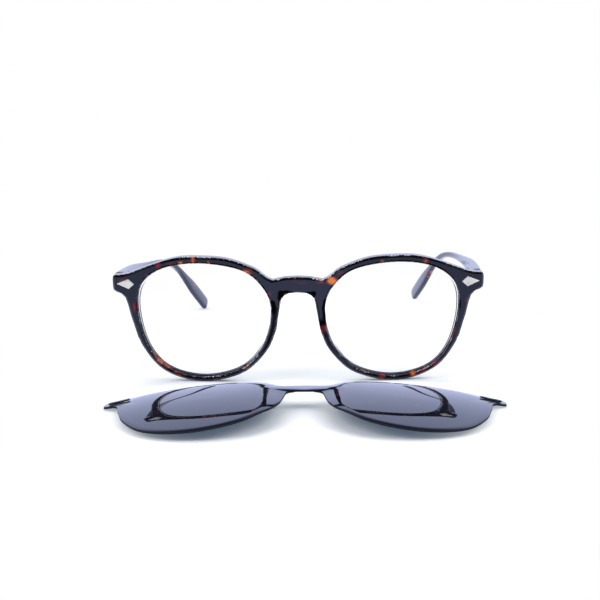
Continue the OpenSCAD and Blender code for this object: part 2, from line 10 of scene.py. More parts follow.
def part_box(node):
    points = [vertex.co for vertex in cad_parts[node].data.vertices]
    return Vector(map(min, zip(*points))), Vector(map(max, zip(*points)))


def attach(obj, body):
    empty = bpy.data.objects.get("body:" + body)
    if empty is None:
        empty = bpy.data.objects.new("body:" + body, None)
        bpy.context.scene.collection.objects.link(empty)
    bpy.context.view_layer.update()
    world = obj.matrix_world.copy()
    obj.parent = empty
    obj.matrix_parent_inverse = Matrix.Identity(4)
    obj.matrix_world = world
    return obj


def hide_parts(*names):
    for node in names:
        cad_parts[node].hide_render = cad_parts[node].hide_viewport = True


bl_info = {
    "name": "Clip-on Eyeglasses",
    "version": (1, 0, 0),
    "blender": (4, 5, 0),
    "location": "3D View > Sidebar > Eyeglasses",
    "description": "Finishes a packed pair of acetate eyeglasses and their magnetic tinted clip-on",
    "category": "Object",
}

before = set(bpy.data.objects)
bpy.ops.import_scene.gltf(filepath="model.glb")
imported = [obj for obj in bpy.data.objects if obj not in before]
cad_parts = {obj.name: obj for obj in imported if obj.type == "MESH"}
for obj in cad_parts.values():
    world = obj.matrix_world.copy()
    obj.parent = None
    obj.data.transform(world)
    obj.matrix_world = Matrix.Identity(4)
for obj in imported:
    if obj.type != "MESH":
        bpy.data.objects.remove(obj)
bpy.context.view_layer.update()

MM = 0.001
SIDES = ("left", "right")

# The face of the front: where its middle is, how far it leans back a metre up, how much it curves.
FRONT_MIDDLE = -1.07 * MM
FACE_AT = -38.65 * MM
FACE_LEAN = 0.0745
FACE_BEND = 1.19


# Material maths


class Socket:
    """An output in a finish. Arithmetic on it adds Math nodes to the same finish."""

    def __init__(self, finish, out):
        self.finish = finish
        self.out = out

    def _math(self, operation, *values):
        return self.finish.node("ShaderNodeMath", {"operation": operation}, dict(enumerate(values)))

    def __add__(self, other):
        return self._math("ADD", self, other)

    __radd__ = __add__

    def __sub__(self, other):
        return self._math("SUBTRACT", self, other)

    def __rsub__(self, other):
        return self._math("SUBTRACT", other, self)

    def __mul__(self, other):
        return self._math("MULTIPLY", self, other)

    __rmul__ = __mul__

    def at_least(self, other):
        return self._math("MAXIMUM", self, other)

    def at_most(self, other):
        return self._math("MINIMUM", self, other)


class Finish:
    """The node tree of a material or world while it is being put together."""

    def __init__(self, owner):
        owner.use_nodes = True
        self.tree = owner.node_tree
        self.tree.nodes.clear()

    def node(self, kind, settings=None, values=None, out=0):
        """Adds a node, sets it up, fills or links its sockets, and hands back one of its outputs."""
        made = self.tree.nodes.new(kind)
        for name, value in (settings or {}).items():
            if name == "stops":
                self._place_stops(made.color_ramp, value)
            else:
                setattr(made, name, value)
        for key, value in (values or {}).items():
            if isinstance(value, Socket):
                self.tree.links.new(value.out, made.inputs[key])
            else:
                made.inputs[key].default_value = value
        return Socket(self, made.outputs[out])

    @staticmethod
    def _place_stops(ramp, stops):
        while len(ramp.elements) < len(stops):
            ramp.elements.new(1.0)
        for element, (position, colour) in zip(ramp.elements, stops):
            element.position = position
            element.color = colour

    def here(self):
        """The point being shaded, in the part's own frame, in metres."""
        return self.node("ShaderNodeTexCoord", out="Object")

    def noise(self, where, size, detail=2.0, roughness=0.5, out="Fac"):
        """Cloudy noise whose lumps are about size metres across."""
        values = {"Vector": where, "Scale": 1.0 / size, "Detail": detail, "Roughness": roughness}
        return self.node("ShaderNodeTexNoise", {"noise_dimensions": "3D"}, values, out)

    def vector(self, operation, *values, out=0, scale=None):
        places = dict(enumerate(values))
        if scale is not None:
            places["Scale"] = scale
        return self.node("ShaderNodeVectorMath", {"operation": operation}, places, out)

    def length(self, vector):
        return self.vector("LENGTH", vector, out="Value")

    def blend(self, factor, first, second):
        """A colour between first and second."""
        values = {0: factor, 6: first, 7: second}
        return self.node("ShaderNodeMix", {"data_type": "RGBA"}, values, out=2)

    def ramp(self, factor, *stops):
        return self.node("ShaderNodeValToRGB", {"stops": stops}, {"Fac": factor}, out="Color")

    def mix(self, factor, first, second):
        """A shader between first and second."""
        return self.node("ShaderNodeMixShader", None, {0: factor, 1: first, 2: second})

    def diffuse(self, colour):
        return self.node("ShaderNodeBsdfDiffuse", None, {"Color": colour})

    def emission(self, colour, strength):
        return self.node("ShaderNodeEmission", None, {"Color": colour, "Strength": strength})

    def part_of(self, vector, axis):
        return self.node("ShaderNodeSeparateXYZ", None, {0: vector}, out=axis)

    def ray(self, kind):
        """One for the kind of ray that Light Path names, such as Camera."""
        return self.node("ShaderNodeLightPath", out=f"Is {kind} Ray")

    def spread(self, value, low, high, to_low=0.0, to_high=1.0):
        """Maps low..high to to_low..to_high with soft ends."""
        values = {"Value": value, "From Min": low, "From Max": high, "To Min": to_low, "To Max": to_high}
        return self.node("ShaderNodeMapRange", {"interpolation_type": "SMOOTHSTEP"}, values)

    def bump(self, height, depth, strength=1.0):
        return self.node("ShaderNodeBump", None, {"Strength": strength, "Distance": depth, "Height": height})

    def principled(self, **values):
        named = {name.replace("_", " ").title(): value for name, value in values.items()}
        if "Ior" in named:
            named["IOR"] = named.pop("Ior")
        return self.node("ShaderNodeBsdfPrincipled", None, named)

    def surface(self, shader):
        self.node_output("ShaderNodeOutputMaterial", shader)

    def background(self, shader):
        self.node_output("ShaderNodeOutputWorld", shader)

    def node_output(self, kind, shader):
        made = self.tree.nodes.new(kind)
        self.tree.links.new(shader.out, made.inputs["Surface"])


def shade(red, green, blue):
    """A screen colour from 0 to 255 as the linear colour that a node takes."""
    linear = []
    for level in (red, green, blue):
        share = level / 255
        linear.append(share / 12.92 if share <= 0.04045 else ((share + 0.055) / 1.055) ** 2.4)
    return (*linear, 1.0)


def solid(colour):
    """A colour property's three numbers with full cover."""
    return (*colour[:3], 1.0)


# Sizes and colours that a user would change


class AcetateLook(bpy.types.PropertyGroup):
    """Tortoise acetate of the front, the pads and the temples."""

    ground: FloatVectorProperty(
        name="Ground",
        description="Nearly black brown of the sheet",
        default=shade(13, 9, 9)[:3],
        subtype="COLOR",
        min=0.0,
        max=1.0,
    )
    umber: FloatVectorProperty(
        name="Umber",
        description="Dark red brown at the rim of a fleck",
        default=shade(80, 34, 24)[:3],
        subtype="COLOR",
        min=0.0,
        max=1.0,
    )
    orange: FloatVectorProperty(
        name="Orange",
        description="Orange in the body of a fleck",
        default=shade(196, 92, 26)[:3],
        subtype="COLOR",
        min=0.0,
        max=1.0,
    )
    honey: FloatVectorProperty(
        name="Honey",
        description="Honey yellow in the middle of a bright fleck",
        default=shade(255, 140, 24)[:3],
        subtype="COLOR",
        min=0.0,
        max=1.0,
    )
    ember: FloatVectorProperty(
        name="Ember",
        description="Red of the flecks that lie deep in the sheet",
        default=shade(136, 22, 26)[:3],
        subtype="COLOR",
        min=0.0,
        max=1.0,
    )
    sheen_tint: FloatVectorProperty(
        name="Sheen tint",
        description="Tint of the polished surface seen square on",
        default=(0.72, 0.80, 1.0),
        subtype="COLOR",
        min=0.0,
        max=1.0,
    )
    polish: FloatProperty(
        name="Polish",
        description="Roughness of the tumbled and polished surface",
        default=0.09,
        min=0.0,
        max=1.0,
        subtype="FACTOR",
    )
    glare: FloatProperty(
        name="Glare",
        description="How fully the polish mirrors the light at a grazing view",
        default=0.85,
        min=0.0,
        max=1.0,
        subtype="FACTOR",
    )
    # Painted glints: cover of white specks painted along the edge behind the bevel, where the polish catches
    # the light.
    painted_glints: FloatProperty(
        name="Painted glints",
        description="Cover of the white specks along the milled edge behind the bevel",
        default=0.9,
        min=0.0,
        max=1.0,
        subtype="FACTOR",
    )
    lacquer: FloatProperty(
        name="Lacquer",
        description="Cover of the clear lacquer over the polished acetate",
        default=0.25,
        min=0.0,
        max=1.0,
        subtype="FACTOR",
    )
    edge: FloatProperty(
        name="Edge softness",
        description="Width of the edge that tumbling rounds off",
        default=0.16 * MM,
        min=0.0,
        max=0.5 * MM,
        unit="LENGTH",
    )


class LensLook(bpy.types.PropertyGroup):
    """Clear lenses and the tinted sheet of the clip-on."""

    clear_edge: FloatProperty(
        name="Clear lens edge",
        description="Width of the polished edge of the clear lenses",
        default=0.08 * MM,
        min=0.0,
        max=0.3 * MM,
        unit="LENGTH",
    )
    clear_index: FloatProperty(
        name="Clear lens index",
        description="Refractive index that the clear lenses seem to have under their coating",
        default=1.18,
        min=1.05,
        max=1.8,
    )
    # Painted shade: the seat line is a thin dark tube that stands for the groove's shadow behind each lens.
    seat_line: FloatProperty(
        name="Seat line",
        description="Half the width of the dark line where the back of a lens meets its groove",
        default=0.17 * MM,
        min=0.02 * MM,
        max=0.4 * MM,
        unit="LENGTH",
    )
    seat_inset: FloatProperty(
        name="Seat line inset",
        description="How far the line lies inside the crest of the lens edge",
        default=0.95 * MM,
        min=0.0,
        max=2.0 * MM,
        unit="LENGTH",
    )
    seat_back: FloatProperty(
        name="Seat line setback",
        description="How far the line lies behind the crest of the lens edge",
        default=0.8 * MM,
        min=0.0,
        max=2.0 * MM,
        unit="LENGTH",
    )
    tint: FloatVectorProperty(
        name="Tint",
        description="Colour of the tinted sheet's body",
        default=(0.004, 0.005, 0.009),
        subtype="COLOR",
        min=0.0,
        max=1.0,
    )
    sheet_sheen: FloatVectorProperty(
        name="Sheet sheen",
        description="Tint of what the tinted sheet's mirror coat reflects",
        default=(0.78, 0.88, 1.0),
        subtype="COLOR",
        min=0.0,
        max=1.0,
    )
    tint_index: FloatProperty(
        name="Tinted sheet index",
        description="Refractive index of the tinted sheet's hard coat",
        default=1.78,
        min=1.3,
        max=2.0,
    )
    sheet_edge: FloatProperty(
        name="Sheet edge softness",
        description="Width of the milled edge of the tinted sheet",
        default=0.10 * MM,
        min=0.0,
        max=0.3 * MM,
        unit="LENGTH",
    )


class MetalLook(bpy.types.PropertyGroup):
    """Plaques, hinges, magnets and the clip's strips."""

    champagne: FloatVectorProperty(
        name="Champagne",
        description="Pale metal of the kite plaques",
        default=shade(248, 246, 232)[:3],
        subtype="COLOR",
        min=0.0,
        max=1.0,
    )
    steel: FloatVectorProperty(
        name="Steel",
        description="Nickel silver of the hinges, screws and core wires",
        default=shade(176, 176, 180)[:3],
        subtype="COLOR",
        min=0.0,
        max=1.0,
    )
    gunmetal: FloatVectorProperty(
        name="Gunmetal",
        description="Dark plating of the clip's magnet strips",
        default=shade(34, 34, 40)[:3],
        subtype="COLOR",
        min=0.0,
        max=1.0,
    )
    pip: FloatProperty(
        name="Pip",
        description="Width of each bright pip on the clip's magnet strips",
        default=0.55 * MM,
        min=0.1 * MM,
        max=1.0 * MM,
        unit="LENGTH",
    )
    plaque_edge: FloatProperty(
        name="Plaque edge",
        description="Width of the bevel round each plaque",
        default=0.18 * MM,
        min=0.0,
        max=0.4 * MM,
        unit="LENGTH",
    )
    hinge_edge: FloatProperty(
        name="Hinge edge",
        description="Width of the broken edges of the hinge parts",
        default=0.07 * MM,
        min=0.0,
        max=0.2 * MM,
        unit="LENGTH",
    )


class StudioLook(bpy.types.PropertyGroup):
    """Camera, light and table."""

    camera_place: FloatVectorProperty(
        name="Camera place",
        description="Where the camera stands in the part's frame",
        default=(5.279 * MM, -425.655 * MM, 107.1 * MM),
        subtype="TRANSLATION",
        unit="LENGTH",
    )
    camera_pitch: FloatProperty(
        name="Camera pitch",
        description="How far the camera looks down",
        default=math.radians(11.03),
        subtype="ANGLE",
    )
    camera_yaw: FloatProperty(
        name="Camera yaw",
        description="How far the camera looks to the left",
        default=math.radians(0.82),
        subtype="ANGLE",
    )
    camera_roll: FloatProperty(
        name="Camera roll",
        description="How far the camera leans over clockwise",
        default=math.radians(0.64),
        subtype="ANGLE",
    )
    lens: FloatProperty(
        name="Focal length",
        description="Focal length on a 36 mm sensor, in millimetres",
        default=63.43,
        min=10.0,
        max=300.0,
    )
    sky: FloatProperty(
        name="Fill light",
        description="Level of the even light from all round",
        default=0.40,
        min=0.0,
        max=2.0,
    )
    side_power: FloatProperty(
        name="Side lamps",
        description="Power of the soft box on each side",
        default=7.0,
        min=0.0,
        max=100.0,
        unit="POWER",
    )
    back_power: FloatProperty(
        name="Back lamp",
        description="Power of the long soft box above and behind",
        default=5.0,
        min=0.0,
        max=100.0,
        unit="POWER",
    )
    top_power: FloatProperty(
        name="Top lamp",
        description="Power of the soft box above",
        default=4.0,
        min=0.0,
        max=100.0,
        unit="POWER",
    )
    table_lift: FloatProperty(
        name="Table lift",
        description="How far the table is lifted towards the white of the backdrop near the object",
        default=0.12,
        min=0.0,
        max=1.0,
    )
    shadow_tint: FloatVectorProperty(
        name="Shadow tint",
        description="Colour of the table's lift, which tints the shadow",
        default=(0.46, 0.71, 1.0),
        subtype="COLOR",
        min=0.0,
        max=1.0,
    )
    table: FloatVectorProperty(
        name="Table",
        description="Colour of the pale table",
        default=(0.94, 0.94, 0.95),
        subtype="COLOR",
        min=0.0,
        max=1.0,
    )
    reflected: FloatVectorProperty(
        name="Reflected backdrop",
        description="Colour of the backdrop as polished surfaces show it",
        default=(0.63, 0.69, 1.0),
        subtype="COLOR",
        min=0.0,
        max=1.0,
    )


# Shapes


def select_only(*pieces):
    """Leaves just these pieces selected, the first one active."""
    bpy.ops.object.select_all(action="DESELECT")
    for piece in pieces:
        piece.select_set(True)
    bpy.context.view_layer.objects.active = pieces[0]


def copy_of(node_name, piece_name):
    """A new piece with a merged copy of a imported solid's mesh."""
    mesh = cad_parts[node_name].data.copy()
    mesh.name = piece_name
    mesh.materials.clear()
    piece = bpy.data.objects.new(piece_name, mesh)
    bpy.context.scene.collection.objects.link(piece)
    select_only(piece)
    if mesh.has_custom_normals:
        bpy.ops.mesh.customdata_custom_splitnormals_clear()
    bpy.ops.object.mode_set(mode="EDIT")
    bpy.ops.mesh.select_all(action="SELECT")
    bpy.ops.mesh.remove_doubles(threshold=1e-6)
    bpy.ops.mesh.tris_convert_to_quads(face_threshold=math.radians(20), shape_threshold=math.radians(80))
    bpy.ops.object.mode_set(mode="OBJECT")
    return piece


def soften(piece, width, angle, segments=2):
    """Rounds the edges of a piece that turn by more than angle."""
    select_only(piece)
    bpy.ops.object.modifier_add(type="BEVEL")
    bevel = piece.modifiers[-1]
    bevel.limit_method = "ANGLE"
    bevel.angle_limit = angle
    bevel.width = width
    bevel.segments = segments
    bevel.use_clamp_overlap = True
    bpy.ops.object.modifier_apply(modifier=bevel.name)


def shade_smooth(piece, angle):
    """Smooths the shading over edges that turn by less than angle."""
    select_only(piece)
    bpy.ops.object.shade_smooth_by_angle(angle=angle)


def favour_large_faces(piece):
    """Lets the shading follow the large faces, so that they look flat up to their rounded edges."""
    select_only(piece)
    bpy.ops.object.modifier_add(type="WEIGHTED_NORMAL")
    weighted = piece.modifiers[-1]
    weighted.keep_sharp = True
    bpy.ops.object.modifier_apply(modifier=weighted.name)


def dress(piece, material, body, slot, *nodes):
    """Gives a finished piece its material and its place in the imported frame."""
    piece.data.materials.clear()
    piece.data.materials.append(material)
    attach(piece, body)
    if nodes:
        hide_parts(*nodes)


def repaint(node_name, material):
    """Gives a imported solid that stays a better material."""
    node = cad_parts[node_name]
    for place in node.material_slots:
        place.material = material
    if not node.material_slots:
        node.data.materials.append(material)


def new_material(name):
    return bpy.data.materials.new(name)


# Finishes

# Places in millimetres, then how warm the fleck or how full the mark is. Those named for the front
# run right through it and are (x, z, half width, half height). The others are a centre and half
# sizes, None for no limit.
FRONT_FLECKS = (
    (11.7, 39.3, 2.0, 1.5, 1.6),
    (7.4, 38.9, 1.9, 0.7, 0.50),
    (14.7, 42.4, 2.0, 1.2, 0.36),
    (0.4, 38.5, 3.2, 0.9, 0.24),
    (-44.3, 46.1, 1.4, 0.8, 0.95),
    (-47.6, 45.6, 2.6, 1.2, 0.30),
    (-41.4, 46.3, 2.0, 1.0, 0.30),
    (-39.6, 47.4, 1.1, 2.4, 0.72),
    (-33.9, 46.5, 0.9, 0.6, 0.72),
    (-20.2, 42.7, 2.2, 1.1, 1.0),
    (-18.8, 44.0, 1.9, 0.8, 0.36),
    (-57.6, 41.1, 0.9, 1.0, 0.52),
    (-11.4, 34.3, 0.9, 1.5, 0.44),
    (-59.5, 24.5, 0.8, 1.4, 0.7),
    (-46.6, 2.6, 2.0, 0.8, 0.42),
    (-33.0, 0.6, 1.5, 0.8, 0.5),
    (-21.0, 5.7, 1.5, 1.0, 0.5),
    (30.4, 46.3, 1.0, 0.8, 0.62),
    (46.3, 45.9, 1.3, 1.3, 0.62),
    (57.7, 18.9, 1.2, 1.6, 0.5),
    (42.4, 2.3, 1.4, 1.3, 0.95),
    (62.4, 30.6, 1.1, 1.8, 0.4),
    (-66.6, 39.2, 2.8, 0.8, 0.40),
)
WALL_FLECKS = (
    ((-55.8, -33.6, 10.6), (1.8, 1.6, 2.2), 1.1),
    ((-53.2, -33.9, 8.0), (2.6, 1.6, 2.2), 1.7),
    ((-50.2, -34.3, 6.0), (3.0, 1.6, 1.6), 1.6),
    ((-46.6, -35.1, 3.9), (2.4, 1.3, 1.1), 0.8),
    ((45.8, -34.6, 5.0), (2.4, 1.3, 1.1), 1.5),
    ((24.5, -36.4, 4.4), (2.2, 1.3, 0.9), 1.4),
    ((57.0, -33.8, 15.0), (1.1, 1.3, 3.0), 1.0),
)
FRONT_EMBERS = (
    (-52.9, 45.5, 0.8, 1.7, 0.85),
    (8.6, 21.2, 1.3, 1.6, 0.9),
    (-62.2, 29.0, 1.1, 1.9, 0.55),
    (50.6, 6.6, 2.2, 1.4, 0.6),
    (46.8, 3.0, 2.0, 0.9, 0.5),
    (30.4, 1.6, 1.1, 1.3, 0.95),
)
# Painted shade: matt near-black patches in the corners of the bridge arch and on the nose side of the rims,
# where the polish shows no reflection.
FRONT_PAINTED_SHADE = (
    (-7.3, 33.9, 1.2, 2.1, 1.0),
    (-5.2, 35.1, 2.2, 0.6, 1.0),
    (4.6, 34.5, 1.1, 1.1, 1.0),
    (2.9, 34.9, 1.3, 0.5, 1.0),
    (-10.0, 29.4, 1.1, 3.0, 1.0),
    (8.8, 27.2, 0.8, 5.4, 1.0),
    (7.8, 23.0, 1.6, 1.2, 1.0),
)
# Two small pale marks on the tinted sheet, painted as a lighter body colour.
PALE_MARKS = (
    ((23.7, -91.5, 0.0), (1.1, 0.3, None), 0.20),
    ((38.8, -90.4, 0.0), (0.9, 0.4, None), 0.20),
)
TEMPLE_FLECKS = (
    ((-55.4, 90.0, 15.6), (7.0, 5.0, 3.5), 0.58),
    ((61.4, 86.0, 22.4), (6.0, 4.0, 2.6), 0.50),
)

# How edge-on the polish has to be seen to begin to mirror, and to mirror in full.
GRAZING_FROM = 0.58
GRAZING_FULL = 0.88

# How far behind the face the milled edge lies: where it starts, is whole, starts to end and ends.
MILLED_DEPTHS = (0.45 * MM, 0.65 * MM, 0.95 * MM, 1.25 * MM)

# The pips in a strip's plan: how far each lies inwards of its middle, and the line they stand on.
PIP_REACHES = (0.5 * MM, 1.3 * MM, 2.1 * MM, 2.9 * MM)
PIP_SLOPE = 0.34
PIP_DROP = 0.27 * MM

# The table's side in metres, the stretch of the oval round the object, and how far out on that oval
# the table starts and ends its fade to white.
TABLE_SIZE = 12.0
TABLE_OVAL = (1.9, 0.75, 0.0)
TABLE_KEPT = 0.095
TABLE_GONE = 0.20

# Name, place, size and the property that holds the power of each lamp.
LAMPS = (
    ("soft_box_left", (-0.9, -0.5, 0.9), (0.8, 0.8), "side_power"),
    ("soft_box_right", (0.9, -0.3, 0.9), (0.8, 0.8), "side_power"),
    ("soft_box_above", (0.0, 0.25, 1.1), (1.0, 0.8), "top_power"),
    ("soft_box_back", (0.0, 1.05, 1.05), (2.2, 0.7), "back_power"),
)


def right_through(places):
    """Places on the front as places that run through it from face to back."""
    return [((x, 0.0, z), (half_x, None, half_z), warmth) for x, z, half_x, half_z, warmth in places]


def warmest(finish, here, places, inner, outer):
    """How warm each point is: full inside a place's inner reach, none past its outer reach."""
    heat = None
    for centre, half, warmth in places:
        scale = tuple(1 / (reach * MM) if reach else 0.0 for reach in half)
        shift = tuple(-at / reach if reach else 0.0 for at, reach in zip(centre, half))
        away = finish.length(finish.vector("MULTIPLY_ADD", here, scale, shift))
        warm = finish.spread(away, outer, inner, 0.0, warmth)
        heat = warm if heat is None else heat.at_least(warm)
    return heat


def behind_face(finish, here):
    """How far a point lies behind the leant and curved face of the front, in metres."""
    across = finish.part_of(here, "X") - FRONT_MIDDLE
    lean = finish.part_of(here, "Z") * FACE_LEAN
    return finish.part_of(here, "Y") - FACE_AT + lean - across * across * FACE_BEND


def tortoise(name, look, lump, show, glare, flecks, embers=(), painted_shade=(), milled=False):
    """Acetate with a drifting mottle of its own and flecks at listed places, and where asked painted glints
    along the edge behind the face and patches of painted shade.
    """
    material = new_material(name)
    finish = Finish(material)
    here = finish.here()
    # The sway pushes the mottle and the flecks out of their plain shapes.
    drift = finish.noise(here, 5.0 * MM, 4.0, 0.62, out="Color")
    sway = 2.4 * MM
    moved = finish.vector("MULTIPLY_ADD", drift, (sway,) * 3, (-sway / 2,) * 3)
    place = finish.vector("ADD", here, moved)
    cloud = finish.noise(finish.vector("MULTIPLY", place, lump), 6.5 * MM, 2.5, 0.55)
    heat = finish.spread(cloud, 0.60, 0.80, 0.0, show)
    if flecks:
        heat = heat.at_least(warmest(finish, place, flecks, -0.3, 1.7))
    streak = finish.noise(finish.vector("MULTIPLY", here, (0.6, 1.0, 1.5)), 0.9 * MM, 3.0, 0.65)
    heat = heat + (streak - 0.5) * (heat * 1.1)
    ground = solid(look.ground)
    colour = finish.ramp(
        heat,
        (0.08, ground),
        (0.34, solid(look.umber)),
        (0.66, solid(look.orange)),
        (0.95, solid(look.honey)),
    )
    if embers:
        red = warmest(finish, place, embers, 0.0, 1.6)
        colour = finish.blend(red + (streak - 0.5) * (red * 0.4), colour, solid(look.ember))
    scuffs = finish.noise(here, 0.5 * MM, 4.0, 0.7)
    roughness = finish.spread(scuffs, 0.35, 0.75, look.polish * 0.85, look.polish * 1.25)
    ripple = finish.noise(here, 3.0 * MM, 1.0, 0.4)
    shell = finish.principled(
        base_color=colour,
        roughness=roughness,
        ior=1.5,
        specular_tint=solid(look.sheen_tint),
        coat_weight=look.lacquer,
        coat_roughness=0.04,
        normal=finish.bump(ripple, 0.012 * MM),
    )
    # Seen edge-on, the polish mirrors the backdrop, but less so over a bright fleck.
    slant = finish.node("ShaderNodeLayerWeight", None, {"Blend": 0.5}, out="Facing")
    grazing = finish.spread(slant, GRAZING_FROM, GRAZING_FULL)
    mirror = finish.principled(base_color=(1.0, 0.95, 0.80, 1.0), metallic=1.0, roughness=0.12)
    covered = heat.at_most(1.0) * 0.7
    shell = finish.mix(grazing * glare * (1.0 - covered), shell, mirror)
    # Painted glints: white specks of pale diffuse colour along the band of edge just behind the face.
    if milled:
        start, whole, ending, end = MILLED_DEPTHS
        depth = behind_face(finish, here)
        edge = finish.spread(depth, start, whole) * finish.spread(depth, end, ending)
        glint_noise = finish.noise(here, 0.45 * MM, 2.0, 0.6) + finish.noise(here, 9.0 * MM, 1.0, 0.5) * 0.5
        painted_glints = edge * finish.spread(glint_noise, 0.82, 0.88, 0.0, look.painted_glints)
        shell = finish.mix(painted_glints, shell, finish.diffuse((0.9, 0.9, 0.92, 1.0)))
    # Painted shade: the listed patches get the matt ground colour in place of the polish.
    if painted_shade:
        shade_cover = warmest(finish, place, painted_shade, 0.85, 1.15)
        shell = finish.mix(shade_cover, shell, finish.diffuse(ground))
    finish.surface(shell)
    return material


def clear_glass(name, look):
    """A lens that is seen only by what its polished faces reflect."""
    material = new_material(name)
    finish = Finish(material)
    here = finish.here()
    smear = finish.noise(here, 9.0 * MM, 2.0, 0.5)
    gloss = finish.principled(
        base_color=(0.95, 0.96, 1.0, 1.0),
        metallic=1.0,
        roughness=finish.spread(smear, 0.3, 0.8, 0.01, 0.03),
    )
    through = finish.node("ShaderNodeBsdfTransparent", None, {"Color": (0.998, 0.998, 1.0, 1.0)})
    edge_on = finish.node("ShaderNodeFresnel", None, {"IOR": look.clear_index})
    finish.surface(finish.mix(edge_on, through, gloss))
    return material


def tinted_sheet(name, look):
    """Dark polarised sheet under a hard coat."""
    material = new_material(name)
    finish = Finish(material)
    here = finish.here()
    haze = finish.noise(here, 14.0 * MM, 2.0, 0.5)
    hazy = [level * gain for level, gain in zip(look.tint, (1.5, 1.5, 1.6))]
    body = finish.blend(haze, solid(look.tint), solid(hazy))
    body = finish.blend(warmest(finish, here, PALE_MARKS, 0.2, 1.3), body, (0.5, 0.52, 0.6, 1.0))
    finish.surface(
        finish.principled(
            base_color=body,
            roughness=finish.spread(haze, 0.3, 0.75, 0.012, 0.028),
            ior=look.tint_index,
            specular_tint=solid(look.sheet_sheen),
            coat_weight=1.0,
            coat_roughness=0.01,
        )
    )
    return material


def seat_shadow(name):
    """Painted shade: the grey that the groove's shadow lends to the back edge of a lens, on its lower and
    outer side.
    """
    material = new_material(name)
    finish = Finish(material)
    here = finish.here()
    drift = finish.noise(here, 4.0 * MM, 2.0, 0.5)
    grey = finish.blend(finish.spread(drift, 0.35, 0.65), shade(34, 34, 46), shade(84, 70, 76))
    across = finish.length(finish.vector("MULTIPLY", here, (1.0, 0.0, 0.0)))
    height = finish.part_of(here, "Z")
    outer = finish.spread(across, 36 * MM, 44 * MM).at_least(finish.spread(height, 16 * MM, 10 * MM))
    cover = outer * finish.spread(height, 40 * MM, 33 * MM)
    finish.surface(
        finish.principled(
            base_color=grey,
            roughness=finish.spread(drift, 0.3, 0.7, 0.2, 0.3),
            ior=1.45,
            alpha=cover,
        )
    )
    return material


def milled_edge(name):
    """The dark matt edge that the cutter leaves on the tinted sheet."""
    material = new_material(name)
    finish = Finish(material)
    marks = finish.noise(finish.here(), 0.3 * MM, 2.0, 0.6)
    finish.surface(
        finish.principled(
            base_color=finish.blend(marks, (0.006, 0.007, 0.012, 1.0), (0.012, 0.013, 0.02, 1.0)),
            roughness=finish.spread(marks, 0.3, 0.7, 0.38, 0.5),
            ior=1.3,
        )
    )
    return material


def satin_metal(name, colour, grain, roughness, metallic=1.0):
    """Metal with a fine brushed grain along X."""
    material = new_material(name)
    finish = Finish(material)
    here = finish.here()
    lines = finish.noise(finish.vector("MULTIPLY", here, (0.08, 1.0, 1.0)), grain, 3.0, 0.6)
    patina = finish.noise(here, 2.2 * MM, 2.0, 0.5)
    worn = [level * 0.86 for level in colour[:3]]
    tone = finish.blend(finish.spread(patina, 0.3, 0.8), solid(colour), solid(worn))
    finish.surface(
        finish.principled(
            base_color=tone,
            metallic=metallic,
            roughness=finish.spread(lines, 0.3, 0.7, roughness * 0.8, roughness * 1.25),
            normal=finish.bump(lines, 0.004 * MM, 0.5),
        )
    )
    return material


# Pieces


class PieceOperator:
    """What the piece operators share."""

    bl_options = {"REGISTER", "UNDO"}


class MakeFront(PieceOperator, bpy.types.Operator):
    """Makes the tortoise front with its tumbled edges"""

    bl_idname = "eyeglasses.front"
    bl_label = "Front"

    def execute(self, context):
        look = context.scene.eyeglasses_acetate
        front = copy_of("frame_front", "front_acetate")
        soften(front, look.edge, math.radians(28))
        shade_smooth(front, math.radians(34))
        favour_large_faces(front)
        dress(
            front,
            tortoise(
                "tortoise_front",
                look,
                (1.0, 1.0, 1.3),
                0.30,
                look.glare,
                [*right_through(FRONT_FLECKS), *WALL_FLECKS],
                right_through(FRONT_EMBERS),
                right_through(FRONT_PAINTED_SHADE),
                True,
            ),
            "front",
            "tortoise_acetate",
            "frame_front",
        )
        return {"FINISHED"}


class MakePads(PieceOperator, bpy.types.Operator):
    """Makes the two nose pads from the same sheet as the front"""

    bl_idname = "eyeglasses.pads"
    bl_label = "Nose pads"

    def execute(self, context):
        look = context.scene.eyeglasses_acetate
        material = tortoise("tortoise_pads", look, (1.0, 1.0, 1.0), 0.5, look.glare, ())
        for side in SIDES:
            pad = copy_of(f"nose_pad_{side}", f"pad_{side}")
            self.slim(pad, side)
            shade_smooth(pad, math.radians(50))
            dress(pad, material, "front", "tortoise_acetate", f"nose_pad_{side}")
        return {"FINISHED"}

    def slim(self, pad, side):
        """Draws a pad in towards the nose, so that the rim hides it from the front."""
        low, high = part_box(f"nose_pad_{side}")
        nose_side = high if side == "left" else low
        select_only(pad)
        bpy.ops.object.mode_set(mode="EDIT")
        bpy.ops.mesh.select_all(action="SELECT")
        bpy.ops.transform.resize(value=(0.8, 1.0, 1.0), center_override=nose_side)
        bpy.ops.object.mode_set(mode="OBJECT")


